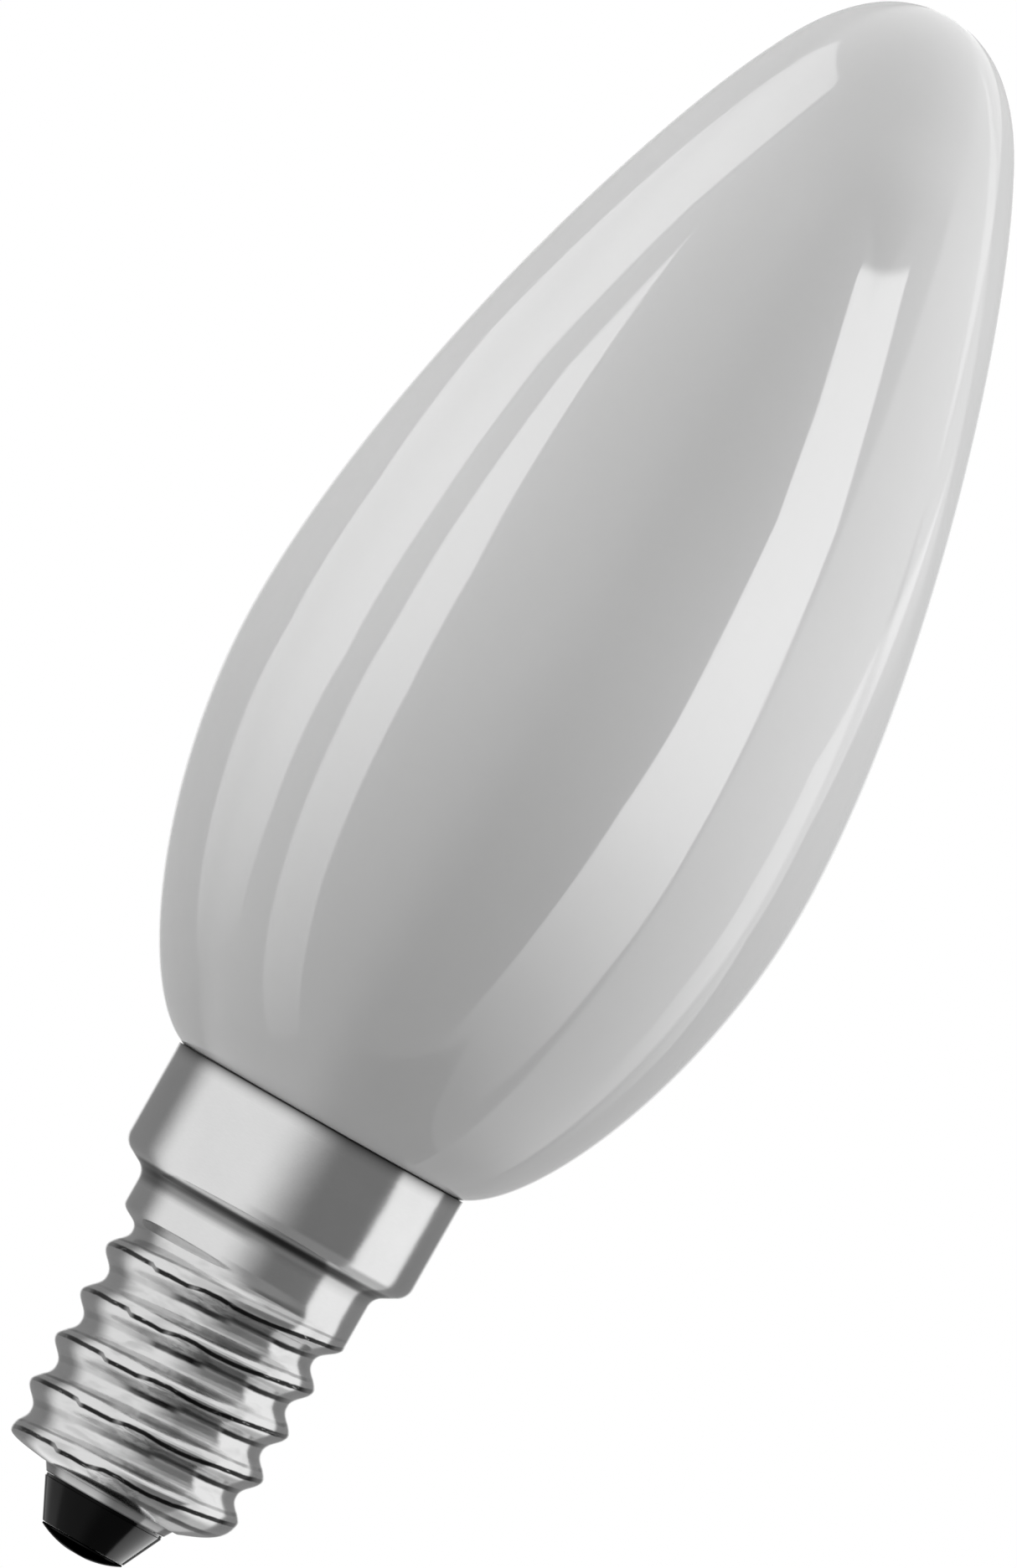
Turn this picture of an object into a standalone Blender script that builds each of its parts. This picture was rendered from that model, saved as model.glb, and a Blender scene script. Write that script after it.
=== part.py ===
"""A candle-shaped LED lamp with an opal glass bulb and a 14 mm screw cap.

Metres, +Z up. The lamp stands on its cap: the axis is Z, and the origin is the middle of
the contact's flat face. Each height is stacked on the one below it.
"""

import math

import bmesh
import bpy

for thing in list(bpy.data.objects):
    bpy.data.objects.remove(thing, do_unlink=True)

# Clearances and cuts
seat_gap = 0.00025  # between pieces that touch on the real lamp
weld_distance = 0.000001

# Centre contact, a domed rivet under the insulator
contact_diameter = 0.005
contact_flat_diameter = 0.0012
contact_dome_height = 0.00058
contact_rim_height = 0.0001
shank_diameter = 0.0016
shank_stand_out = 0.0005  # above the insulator's top
shank_edge_radius = 0.0002

# Insulator, black glass between contact and cap
insulator_foot_diameter = 0.00536
insulator_head_diameter = 0.00744
insulator_cone_height = 0.002
insulator_foot_radius = 0.00012
flange_width = 0.00125  # beyond the hole that the insulator fills
flange_thickness = 0.001
flange_slope = math.radians(38)
flange_edge_radius = 0.00025

# Screw cap, pressed from one sheet
sheet_thickness = 0.00025
lip_height = 0.00048
lip_taper = 0.0003  # the lip is this much wider at the floor, carrying on the insulator's cone
lip_fillet_radius = 0.00015
floor_width = 0.0003  # flat ring between the lip and the curved corner
thread_pitch = 0.002822
thread_turns = 5
thread_end_height = 0.0006  # from the cap's floor to the lowest crest
thread_depth = 0.00083
thread_crest_diameter = 0.0139
thread_start_step = 0.0004  # the lowest crest starts this far inside the others
crest_sharpness = 1.3  # 1 is a sine wave, and more makes crests narrow and roots wide
band_step = 0.00029  # the plain band stands this far beyond the crests
band_height = 0.00185
shoulder_width = 0.0017  # the skirt stands this far beyond the band
shoulder_height = 0.00092
shoulder_radius = 0.001
shoulder_foot_radius = 0.0009
skirt_height = 0.0061

# Glass bulb, sealed and opal
glass_height = 0.06976  # above the cap's rim
glass_diameter = 0.0347
belly_height = 0.02306  # widest place, above the cap's rim
neck_depth = 0.0045  # below the cap's rim
neck_fillet_radius = 0.0004
neck_edge_radius = 0.001
flare_angle = math.radians(70)

# Heights from the contact's face up
insulator_foot_z = contact_dome_height + contact_rim_height + seat_gap
insulator_head_z = insulator_foot_z + insulator_cone_height
lip_z = insulator_head_z + seat_gap
floor_z = lip_z + lip_height
thread_top_z = floor_z + thread_end_height + thread_turns * thread_pitch
shoulder_foot_z = thread_top_z + band_height
shoulder_top_z = shoulder_foot_z + shoulder_height
rim_z = shoulder_top_z + skirt_height
belly_z = rim_z + belly_height
tip_z = rim_z + glass_height

# Radii that other sizes give
crest_radius = thread_crest_diameter / 2
root_radius = crest_radius - thread_depth
band_radius = crest_radius + band_step
skirt_radius = band_radius + shoulder_width
lip_radius = insulator_head_diameter / 2
floor_start_radius = lip_radius + lip_taper
insulator_neck_radius = lip_radius - sheet_thickness - seat_gap
glass_neck_radius = skirt_radius - sheet_thickness - seat_gap
glass_radius = glass_diameter / 2

# Where the top groove fades into the band, in turns from the side at -X
groove_fade_start_share = 0.02
groove_fade_end_share = 0.46
# The height over which the crests swell to the band, in pitches below the thread's top
band_blend_low_share = 1.0
band_blend_high_share = 0.5
# The height over which the lowest crest grows to the others' size, in pitches above the floor
thread_start_low_share = 0.2
thread_start_high_share = 0.65
# The cap's bottom corner, in pitches above the cap's floor: the middle, and how far it tilts
corner_middle_share = 0.5
corner_tilt_share = 0.28
# Handles of the corner's curve, along its reach and up its height
corner_floor_share = (0.42, 0.2)
corner_wall_share = 0.6

# The glass outline above the neck. Handles are shares of the rise from rim to belly
flare_handle_share = 0.18
belly_below_handle_share = 0.46
# Points are shares of the belly's radius and of the height from belly to tip
belly_above_shares = ((1.0, 0.0), (1.0, 0.285), (0.685, 0.691), (0.443, 0.866))
nose_shares = ((0.443, 0.866), (0.384, 0.91), (0.253, 1.0), (0.0, 1.0))

# Facets
cap_columns = 36
glass_columns = 36
small_columns = 24
rows_per_pitch = 7
corner_steps = 6
belly_steps = 10
nose_steps = 5
fillet_steps = 3
dome_steps = 5
smooth_angle = math.radians(35)


def bezier(start, start_handle, end_handle, end, steps):
    """Points along one cubic curve, both ends included."""
    points = []
    for step in range(steps + 1):
        t = step / steps
        weights = ((1 - t) ** 3, 3 * (1 - t) ** 2 * t, 3 * (1 - t) * t**2, t**3)
        controls = (start, start_handle, end_handle, end)
        points.append(tuple(sum(w * c[axis] for w, c in zip(weights, controls)) for axis in (0, 1)))
    return points


def rounded(corners):
    """An outline through (radius, height, corner radius), each corner replaced by an arc."""
    outline = [corners[0][:2]]
    for before, corner, after in zip(corners, corners[1:], corners[2:]):
        fillet = corner[2]
        here = corner[:2]
        if fillet == 0:
            outline.append(here)
            continue
        back = math.atan2(before[1] - here[1], before[0] - here[0])
        ahead = math.atan2(after[1] - here[1], after[0] - here[0])
        opening = (ahead - back + math.pi) % (2 * math.pi) - math.pi
        reach = fillet / abs(math.tan(opening / 2))
        middle = back + opening / 2
        to_centre = fillet / abs(math.sin(opening / 2))
        centre = (here[0] + to_centre * math.cos(middle), here[1] + to_centre * math.sin(middle))
        first = (here[0] + reach * math.cos(back), here[1] + reach * math.sin(back))
        start = math.atan2(first[1] - centre[1], first[0] - centre[0])
        sweep = math.copysign(math.pi - abs(opening), -opening)
        for step in range(fillet_steps + 1):
            turn = start + sweep * step / fillet_steps
            outline.append((centre[0] + fillet * math.cos(turn), centre[1] + fillet * math.sin(turn)))
    outline.append(corners[-1][:2])
    return outline


def smooth_step(low, high, value):
    share = min(1.0, max(0.0, (value - low) / (high - low)))
    return share * share * (3 - 2 * share)


def make_object(name, shape, material):
    """Turns a closed bmesh into a smooth-shaded object with its material."""
    bmesh.ops.remove_doubles(shape, verts=shape.verts, dist=weld_distance)
    bmesh.ops.recalc_face_normals(shape, faces=shape.faces)
    mesh = bpy.data.meshes.new(name)
    shape.to_mesh(mesh)
    shape.free()
    mesh.shade_smooth()
    mesh.set_sharp_from_angle(angle=smooth_angle)
    mesh.materials.append(material)
    thing = bpy.data.objects.new(name, mesh)
    bpy.context.scene.collection.objects.link(thing)
    return thing


def turn_on_axis(name, outline, columns, material):
    """Spins an outline of (radius, height) points about Z."""
    shape = bmesh.new()
    points = [shape.verts.new((radius, 0, height)) for radius, height in outline]
    edges = [shape.edges.new(pair) for pair in zip(points, points[1:])]
    bmesh.ops.spin(
        shape,
        geom=points + edges,
        cent=(0, 0, 0),
        axis=(0, 0, 1),
        angle=2 * math.pi,
        steps=columns,
    )
    return make_object(name, shape, material)


def loft_round_axis(name, section_at, columns, material):
    """Joins closed sections, which may change with the angle, into one ring."""
    shape = bmesh.new()
    loops = []
    for column in range(columns):
        angle = 2 * math.pi * column / columns
        section = section_at(angle)
        points = [(r * math.cos(angle), r * math.sin(angle), z) for r, z in section]
        loops.append([shape.verts.new(point) for point in points])
    for loop, next_loop in zip(loops, loops[1:] + loops[:1]):
        for index in range(len(loop)):
            after = (index + 1) % len(loop)
            shape.faces.new((loop[index], next_loop[index], next_loop[after], loop[after]))
    return make_object(name, shape, material)


def principled(name, colour, roughness, metallic):
    material = bpy.data.materials.new(name)
    material.use_nodes = True
    shader = material.node_tree.nodes["Principled BSDF"]
    shader.inputs["Base Color"].default_value = (*colour, 1.0)
    shader.inputs["Roughness"].default_value = roughness
    shader.inputs["Metallic"].default_value = metallic
    material.diffuse_color = (*colour, 1.0)
    return material


def thread_radius(angle, z):
    """Outside of the pressed sheet between the cap's floor and its plain band."""
    turns = angle / (2 * math.pi) - 0.5
    level = smooth_step(
        thread_top_z - band_blend_low_share * thread_pitch,
        thread_top_z - band_blend_high_share * thread_pitch,
        z,
    )
    start = smooth_step(
        floor_z + thread_start_low_share * thread_pitch,
        floor_z + thread_start_high_share * thread_pitch,
        z,
    )
    high = crest_radius + band_step * level - thread_start_step * (1 - start)
    from_top_groove = (z - thread_top_z) / thread_pitch + 0.5 - turns
    groove = round(from_top_groove)
    shape = (0.5 + 0.5 * math.cos(2 * math.pi * (from_top_groove - groove - 0.5))) ** crest_sharpness
    fade = smooth_step(groove_fade_end_share, groove_fade_start_share, groove + turns)
    return high - (high - root_radius) * (1 - shape) * fade


def corner_top(angle):
    """Height where the cap's bottom corner has become its threaded wall."""
    return floor_z + thread_pitch * (corner_middle_share + corner_tilt_share * math.cos(angle))


def cap_corner(angle):
    """The curve from the cap's floor to its threaded wall."""
    start = (floor_start_radius + floor_width, floor_z)
    top = corner_top(angle)
    end = (thread_radius(angle, top), top)
    reach = end[0] - start[0]
    rise = end[1] - start[1]
    along, up = corner_floor_share
    start_handle = (start[0] + along * reach, start[1] + up * rise)
    end_handle = (end[0], end[1] - corner_wall_share * rise)
    return bezier(start, start_handle, end_handle, end, corner_steps)


def cap_upper():
    """The band, the shoulder and the skirt, up to the start of the rim."""
    edge = sheet_thickness / 2
    return rounded(
        (
            (band_radius, thread_top_z, 0),
            (band_radius, shoulder_foot_z, shoulder_foot_radius),
            (skirt_radius, shoulder_top_z, shoulder_radius),
            (skirt_radius, rim_z - edge, 0),
        )
    )


def moved_in(outline):
    """The outline moved into the sheet by its thickness, square to itself."""
    moved = []
    last = len(outline) - 1
    for index, (radius, z) in enumerate(outline):
        before = outline[max(index - 1, 0)]
        after = outline[min(index + 1, last)]
        along = (after[0] - before[0], after[1] - before[1])
        length = math.hypot(*along)
        moved.append((radius - sheet_thickness * along[1] / length, z + sheet_thickness * along[0] / length))
    return moved


def cap_section(angle):
    """The closed section of the cap's sheet at one angle."""
    lip = rounded(
        (
            (lip_radius, lip_z, 0),
            (floor_start_radius, floor_z, lip_fillet_radius),
            (floor_start_radius + floor_width, floor_z, 0),
        )
    )
    corner = cap_corner(angle)
    low = corner_top(angle)
    rows = round(thread_turns * rows_per_pitch)
    heights = [low + (thread_top_z - low) * row / rows for row in range(1, rows)]
    wall = [(thread_radius(angle, z), z) for z in heights]
    upper = cap_upper()
    bottom = lip + corner[1:]
    inner_wall = [(radius - sheet_thickness, z) for radius, z in wall]
    edge = sheet_thickness / 2
    rim = (skirt_radius - edge, rim_z)
    outside = bottom + wall + upper + [rim]
    inside = moved_in(bottom) + inner_wall + moved_in(upper)
    return outside + inside[::-1]


def make_screw_cap():
    nickel = principled("nickel plated sheet", (0.55, 0.55, 0.56), 0.25, 1.0)
    return loft_round_axis("screw_cap", cap_section, cap_columns, nickel)


def make_insulator():
    bore = shank_diameter / 2 + seat_gap
    floor_inside_z = floor_z + sheet_thickness + seat_gap
    flange_radius = insulator_neck_radius + flange_width
    under_z = floor_inside_z + flange_width * math.tan(flange_slope)
    top_z = under_z + flange_thickness
    foot = insulator_foot_diameter / 2
    outline = rounded(
        (
            (bore, insulator_foot_z, 0),
            (foot, insulator_foot_z, insulator_foot_radius),
            (lip_radius, insulator_head_z, 0),
            (insulator_neck_radius, insulator_head_z, 0),
            (insulator_neck_radius, floor_inside_z, 0),
            (flange_radius, under_z, flange_edge_radius),
            (flange_radius, top_z, flange_edge_radius),
            (bore, top_z, 0),
            (bore, insulator_foot_z, 0),
        )
    )
    black_glass = principled("black insulating glass", (0.012, 0.012, 0.013), 0.12, 0.0)
    turn_on_axis("insulator", outline, small_columns, black_glass)
    return top_z


def make_centre_contact(insulator_top_z):
    """A shallow dome with a flat in its middle, on a shank that fills the insulator's bore."""
    flat = contact_flat_diameter / 2
    rim = contact_diameter / 2
    rise = contact_dome_height
    sphere = ((rim**2 - flat**2 - rise**2) / (2 * rise)) ** 2 + rim**2
    sphere_radius = math.sqrt(sphere)
    centre_z = math.sqrt(sphere_radius**2 - flat**2)
    first = math.asin(flat / sphere_radius)
    final = math.asin(rim / sphere_radius)
    dome = []
    for step in range(dome_steps + 1):
        lean = first + (final - first) * step / dome_steps
        dome.append((sphere_radius * math.sin(lean), centre_z - sphere_radius * math.cos(lean)))
    head_z = contact_dome_height + contact_rim_height
    shank = shank_diameter / 2
    end_z = insulator_top_z + shank_stand_out
    stem = rounded(
        (
            (rim, head_z, 0),
            (shank, head_z, 0),
            (shank, end_z, shank_edge_radius),
            (0, end_z, 0),
        )
    )
    tinned = principled("tinned contact metal", (0.3, 0.3, 0.3), 0.3, 1.0)
    return turn_on_axis("centre_contact", [(0, 0)] + dome + stem, small_columns, tinned)


def make_glass_bulb():
    """The sealed bulb: a neck that stands in the skirt, a flare over the rim and a candle body."""
    edge = sheet_thickness / 2
    clear = edge + seat_gap
    over_rim = (
        skirt_radius - edge - clear * math.cos(flare_angle),
        rim_z - edge + clear * math.sin(flare_angle),
    )
    run_in = (over_rim[0] - glass_neck_radius) / math.tan(flare_angle)
    neck_top_z = over_rim[1] - run_in
    tangent = neck_fillet_radius * math.tan(flare_angle / 2)
    flare_start = (
        glass_neck_radius + tangent * math.sin(flare_angle),
        neck_top_z + tangent * math.cos(flare_angle),
    )
    neck = rounded(
        (
            (0, rim_z - neck_depth, 0),
            (glass_neck_radius, rim_z - neck_depth, neck_edge_radius),
            (glass_neck_radius, neck_top_z, neck_fillet_radius),
            flare_start + (0,),
        )
    )
    rise = belly_z - flare_start[1]
    handle = flare_handle_share * rise
    flare = bezier(
        flare_start,
        (
            flare_start[0] + handle * math.sin(flare_angle),
            flare_start[1] + handle * math.cos(flare_angle),
        ),
        (glass_radius, belly_z - belly_below_handle_share * rise),
        (glass_radius, belly_z),
        belly_steps,
    )
    height = tip_z - belly_z

    def placed(shares):
        return [(glass_radius * across, belly_z + height * up) for across, up in shares]

    body = bezier(*placed(belly_above_shares), belly_steps)
    nose = bezier(*placed(nose_shares), nose_steps)
    opal = principled("opal glass", (0.62, 0.62, 0.62), 0.08, 0.0)
    outline = neck[:-1] + flare[1:] + body[1:] + nose[1:]
    return turn_on_axis("glass_bulb", outline, glass_columns, opal)


make_screw_cap()
make_centre_contact(make_insulator())
make_glass_bulb()
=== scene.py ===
import math
import bpy
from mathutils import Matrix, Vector


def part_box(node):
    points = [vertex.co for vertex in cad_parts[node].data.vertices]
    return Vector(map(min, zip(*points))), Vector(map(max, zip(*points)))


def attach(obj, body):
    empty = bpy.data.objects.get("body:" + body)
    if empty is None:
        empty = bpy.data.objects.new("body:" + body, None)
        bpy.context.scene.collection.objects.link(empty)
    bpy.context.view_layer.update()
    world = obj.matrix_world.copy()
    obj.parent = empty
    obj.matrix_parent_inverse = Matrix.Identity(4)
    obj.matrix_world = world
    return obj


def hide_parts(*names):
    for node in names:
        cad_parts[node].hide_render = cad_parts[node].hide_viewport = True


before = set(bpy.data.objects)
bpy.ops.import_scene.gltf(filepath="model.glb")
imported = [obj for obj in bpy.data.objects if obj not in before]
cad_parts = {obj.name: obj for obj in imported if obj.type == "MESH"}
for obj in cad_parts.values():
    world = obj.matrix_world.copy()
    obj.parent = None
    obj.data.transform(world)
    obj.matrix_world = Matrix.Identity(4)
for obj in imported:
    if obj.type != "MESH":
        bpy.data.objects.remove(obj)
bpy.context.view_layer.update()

capLow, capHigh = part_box("screw_cap")
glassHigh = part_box("glass_bulb")[1]
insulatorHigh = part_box("insulator")[1]
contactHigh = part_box("centre_contact")[1]

scene = bpy.context.scene
scene.view_settings.view_transform = "Standard"

sheetThickness = 0.00025
seatGap = 0.00004  # pieces that touch on the real lamp all but touch here
weldReach = 0.0000005


# Picking, shading and curves

def deselectAll():
    if bpy.context.object and bpy.context.object.mode != "OBJECT":
        bpy.ops.object.mode_set(mode="OBJECT")
    bpy.ops.object.select_all(action="DESELECT")


def curvePoints(start, startHandle, endHandle, end, steps):
    places = (start, startHandle, endHandle, end)
    points = []
    for step in range(steps + 1):
        t = step / steps
        weights = ((1 - t) ** 3, 3 * (1 - t) ** 2 * t, 3 * (1 - t) * t**2, t**3)
        points.append(tuple(sum(w * p[i] for w, p in zip(weights, places)) for i in (0, 1)))
    return points


def roundedOutline(corners, steps):  # corners are (radius, height, fillet)
    outline = [corners[0][:2]]
    for before, corner, after in zip(corners, corners[1:], corners[2:]):
        here, fillet = corner[:2], corner[2]
        if fillet == 0:
            outline.append(here)
            continue
        back = math.atan2(before[1] - here[1], before[0] - here[0])
        ahead = math.atan2(after[1] - here[1], after[0] - here[0])
        opening = (ahead - back + math.pi) % (2 * math.pi) - math.pi
        reach = fillet / abs(math.tan(opening / 2))
        away = fillet / abs(math.sin(opening / 2))
        middle = back + opening / 2
        centre = (here[0] + away * math.cos(middle), here[1] + away * math.sin(middle))
        first = (here[0] + reach * math.cos(back), here[1] + reach * math.sin(back))
        start = math.atan2(first[1] - centre[1], first[0] - centre[0])
        sweep = math.copysign(math.pi - abs(opening), -opening)
        for step in range(steps + 1):
            turn = start + sweep * step / steps
            outline.append((centre[0] + fillet * math.cos(turn), centre[1] + fillet * math.sin(turn)))
    outline.append(corners[-1][:2])
    return outline


def smoothStep(low, high, value):
    share = min(1, max(0, (value - low) / (high - low)))
    return share * share * (3 - 2 * share)


# One vertex is extruded along the outline, which is then spun about the lamp's axis

def turnedPiece(name, outline, columns):
    deselectAll()
    startRadius, startHeight = outline[0]
    bpy.ops.mesh.primitive_plane_add(size=0.0001, location=(0, 0, 0))
    piece = bpy.context.object
    piece.name = name
    piece.data.name = name
    bpy.ops.object.mode_set(mode="EDIT")
    bpy.ops.mesh.select_all(action="SELECT")
    bpy.ops.mesh.merge(type="CENTER")
    bpy.ops.transform.translate(value=(startRadius, 0, startHeight))
    for (radius, height), (nextRadius, nextHeight) in zip(outline, outline[1:]):
        move = (nextRadius - radius, 0, nextHeight - height)
        bpy.ops.mesh.extrude_region_move(TRANSFORM_OT_translate={"value": move})
    bpy.ops.mesh.select_all(action="SELECT")
    bpy.ops.mesh.spin(steps=columns, angle=2 * math.pi, center=(0, 0, 0), axis=(0, 0, 1))
    bpy.ops.mesh.select_all(action="SELECT")
    bpy.ops.mesh.remove_doubles(threshold=weldReach)
    bpy.ops.mesh.normals_make_consistent(inside=False)
    bpy.ops.object.mode_set(mode="OBJECT")
    bpy.ops.object.shade_smooth_by_angle(angle=math.radians(40))
    return piece


def fitOnLamp(piece, node, material):
    piece.data.materials.clear()
    piece.data.materials.append(material)
    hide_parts(node)
    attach(piece, "root")


# Shader wiring: an expression on values adds its Math nodes

class Wire:
    def __init__(self, maker, socket):
        self.maker = maker
        self.socket = socket

    def __add__(self, other):
        return self.maker.maths("ADD", self, other)

    def __radd__(self, other):
        return self.maker.maths("ADD", other, self)

    def __sub__(self, other):
        return self.maker.maths("SUBTRACT", self, other)

    def __rsub__(self, other):
        return self.maker.maths("SUBTRACT", other, self)

    def __mul__(self, other):
        return self.maker.maths("MULTIPLY", self, other)

    def __rmul__(self, other):
        return self.maker.maths("MULTIPLY", other, self)

    def __truediv__(self, other):
        return self.maker.maths("DIVIDE", self, other)

    def __rtruediv__(self, other):
        return self.maker.maths("DIVIDE", other, self)

    def __pow__(self, other):
        return self.maker.maths("POWER", self, other)

    def __rpow__(self, other):
        return self.maker.maths("POWER", other, self)


class Added:
    def __init__(self, maker, node):
        self.maker = maker
        self.node = node

    def out(self, socket):
        return Wire(self.maker, self.node.outputs[socket])


class Maker:
    def __init__(self, tree):
        self.tree = tree

    def add(self, kind, settings=None, values=None):
        node = self.tree.nodes.new(kind)
        for name, value in (settings or {}).items():
            if name == "stops":
                ramp = node.color_ramp
                while len(ramp.elements) < len(value):
                    ramp.elements.new(0.5)
                for element, (place, shade) in zip(ramp.elements, value):
                    element.position = place
                    element.color = (shade, shade, shade, 1)
            else:
                setattr(node, name, value)
        for name, value in (values or {}).items():
            if isinstance(value, Wire):
                self.tree.links.new(value.socket, node.inputs[name])
            else:
                node.inputs[name].default_value = value
        return Added(self, node)

    def maths(self, operation, *values):
        return self.add("ShaderNodeMath", {"operation": operation}, dict(enumerate(values))).out(0)

    def vectorMaths(self, operation, *values, out="Vector"):
        return self.add("ShaderNodeVectorMath", {"operation": operation}, dict(enumerate(values))).out(out)

    def place(self):
        return self.add("ShaderNodeTexCoord").out("Object")

    def split(self, vector):
        parts = self.add("ShaderNodeSeparateXYZ", {}, {0: vector})
        return parts.out("X"), parts.out("Y"), parts.out("Z")

    def join(self, x, y):
        return self.add("ShaderNodeCombineXYZ", {}, {"X": x, "Y": y, "Z": 0.0}).out(0)

    def between(self, value, low, high, newLow=0.0, newHigh=1.0):
        values = {"Value": value, "From Min": low, "From Max": high, "To Min": newLow, "To Max": newHigh}
        return self.add("ShaderNodeMapRange", {"interpolation_type": "SMOOTHSTEP"}, values).out("Result")

    def along(self, value, stops, reach=None):  # a ramp over the stops' own range, or over the given one
        low, high = reach or (stops[0][0], stops[-1][0])
        places = [((at - low) / (high - low), level) for at, level in stops]
        return self.add("ShaderNodeValToRGB", {"stops": places}, {0: (value - low) / (high - low)}).out(0)

    def noise(self, place, scale, detail, roughness=0.5, distortion=0.0):
        values = {"Vector": place, "Scale": scale, "Detail": detail,
                  "Roughness": roughness, "Distortion": distortion}
        return self.add("ShaderNodeTexNoise", {}, values).out("Fac")

    def grey(self, value):
        return self.add("ShaderNodeCombineColor", {}, {"Red": value, "Green": value, "Blue": value}).out(0)

    def bump(self, height, distance, strength, under=None):
        values = {"Height": height, "Distance": distance, "Strength": strength}
        if under:
            values["Normal"] = under
        return self.add("ShaderNodeBump", {}, values).out("Normal")

    def finish(self, shader):
        self.add("ShaderNodeOutputMaterial", {}, {"Surface": shader.out(0)})

    def finishPrincipled(self, sockets):
        self.finish(self.add("ShaderNodeBsdfPrincipled", {}, sockets))


def newMaterial(name):
    material = bpy.data.materials.new(name)
    material.use_nodes = True
    tree = material.node_tree
    tree.nodes.clear()
    return material, Maker(tree)


# Opal glass: milky body under a polished skin

glass = {
    "columns": 160,
    "grey": 0.65,
    # painted shade: greyer toward the neck, where the parts inside shade the glass
    "neckGrey": 0.525,
    "neckFade": 0.035,
    "tipGrey": 0.62,
    "tipFade": (0.014, 0.004),  # below the tip
    "clouding": 0.05,
    "speckling": 0.012,
    "roughness": 0.035,
    "smearing": 0.05,
    "waviness": 0.00004,
    "refraction": 1.8,  # above real glass, so that the strips it mirrors can stay weak
    "neckDepth": 0.0045,
    "neckEdge": 0.001,
    "neckFillet": 0.0004,
    "filletSteps": 8,
    "flareAngle": math.radians(70),
    "flareHandle": 0.18,
    "flareSteps": 56,
    "bellyHeight": 0.02306,
    "bellyHandle": 0.46,
    # shares of the belly's radius and of the height from belly to tip
    "bodyShares": ((1, 0), (1, 0.285), (0.685, 0.691), (0.443, 0.866)),
    "bodySteps": 90,
    "noseShares": ((0.443, 0.866), (0.384, 0.91), (0.253, 1), (0, 1)),
    "noseSteps": 40,
}


def makeOpalMaterial():
    material, maker = newMaterial("opal glass")
    place = maker.place()
    height = maker.split(place)[2]
    cloud = maker.noise(place, 38.0, 3.0, 0.5, 0.4)
    speck = maker.noise(place, 900.0, 2.0, 0.6)
    neck, tip = capHigh.z, glassHigh.z
    tipLow, tipHigh = (tip - below for below in glass["tipFade"])
    # painted shade: greyer toward the neck, where the parts inside shade the glass
    milkAndNeckShade = maker.between(height, neck, neck + glass["neckFade"], glass["neckGrey"], glass["grey"])
    milkAndNeckShade = milkAndNeckShade - maker.between(height, tipLow, tipHigh, 0.0, glass["grey"] - glass["tipGrey"])
    shade = milkAndNeckShade + (cloud - 0.5) * glass["clouding"] + (speck - 0.5) * glass["speckling"]
    smear = maker.between(maker.noise(place, 90.0, 4.0, 0.6), 0.45, 0.75, 0.0, glass["smearing"])
    wave = maker.noise(place, 60.0, 1.0, 0.4)
    maker.finishPrincipled({
        "Base Color": maker.grey(shade),
        "Roughness": smear + glass["roughness"],
        "Metallic": 0.0,
        "IOR": glass["refraction"],
        "Normal": maker.bump(wave, glass["waviness"], 1.0),
    })
    return material


def makeOpalBulb():
    skirt, rim = capHigh.x, capHigh.z
    neck = skirt - 2 * sheetThickness
    neckFoot = rim - glass["neckDepth"]
    belly = glassHigh.x
    bellyZ = rim + glass["bellyHeight"]
    flare = glass["flareAngle"]
    # the glass flares out over the rounded edge of the rim
    clear = sheetThickness / 2 + seatGap
    overRadius = skirt - sheetThickness / 2 - clear * math.cos(flare)
    overHeight = rim - sheetThickness / 2 + clear * math.sin(flare)
    neckTop = overHeight - (overRadius - neck) / math.tan(flare)
    tangent = glass["neckFillet"] * math.tan(flare / 2)
    start = (neck + tangent * math.sin(flare), neckTop + tangent * math.cos(flare))
    foot = roundedOutline(
        ((0, neckFoot, 0), (neck, neckFoot, glass["neckEdge"]),
         (neck, neckTop, glass["neckFillet"]), start + (0,)), glass["filletSteps"])
    rise = bellyZ - start[1]
    handle = glass["flareHandle"] * rise
    lower = curvePoints(
        start,
        (start[0] + handle * math.sin(flare), start[1] + handle * math.cos(flare)),
        (belly, bellyZ - glass["bellyHandle"] * rise),
        (belly, bellyZ),
        glass["flareSteps"])
    height = glassHigh.z - bellyZ

    def placed(shares):
        return [(belly * across, bellyZ + height * up) for across, up in shares]

    body = curvePoints(*placed(glass["bodyShares"]), glass["bodySteps"])
    nose = curvePoints(*placed(glass["noseShares"]), glass["noseSteps"])
    outline = foot[:-1] + lower + body[1:] + nose[1:]
    piece = turnedPiece("opal_bulb", outline, glass["columns"])
    fitOnLamp(piece, "glass_bulb", makeOpalMaterial())
    return piece


# Screw cap: one pressed sheet, nickel plated

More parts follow.
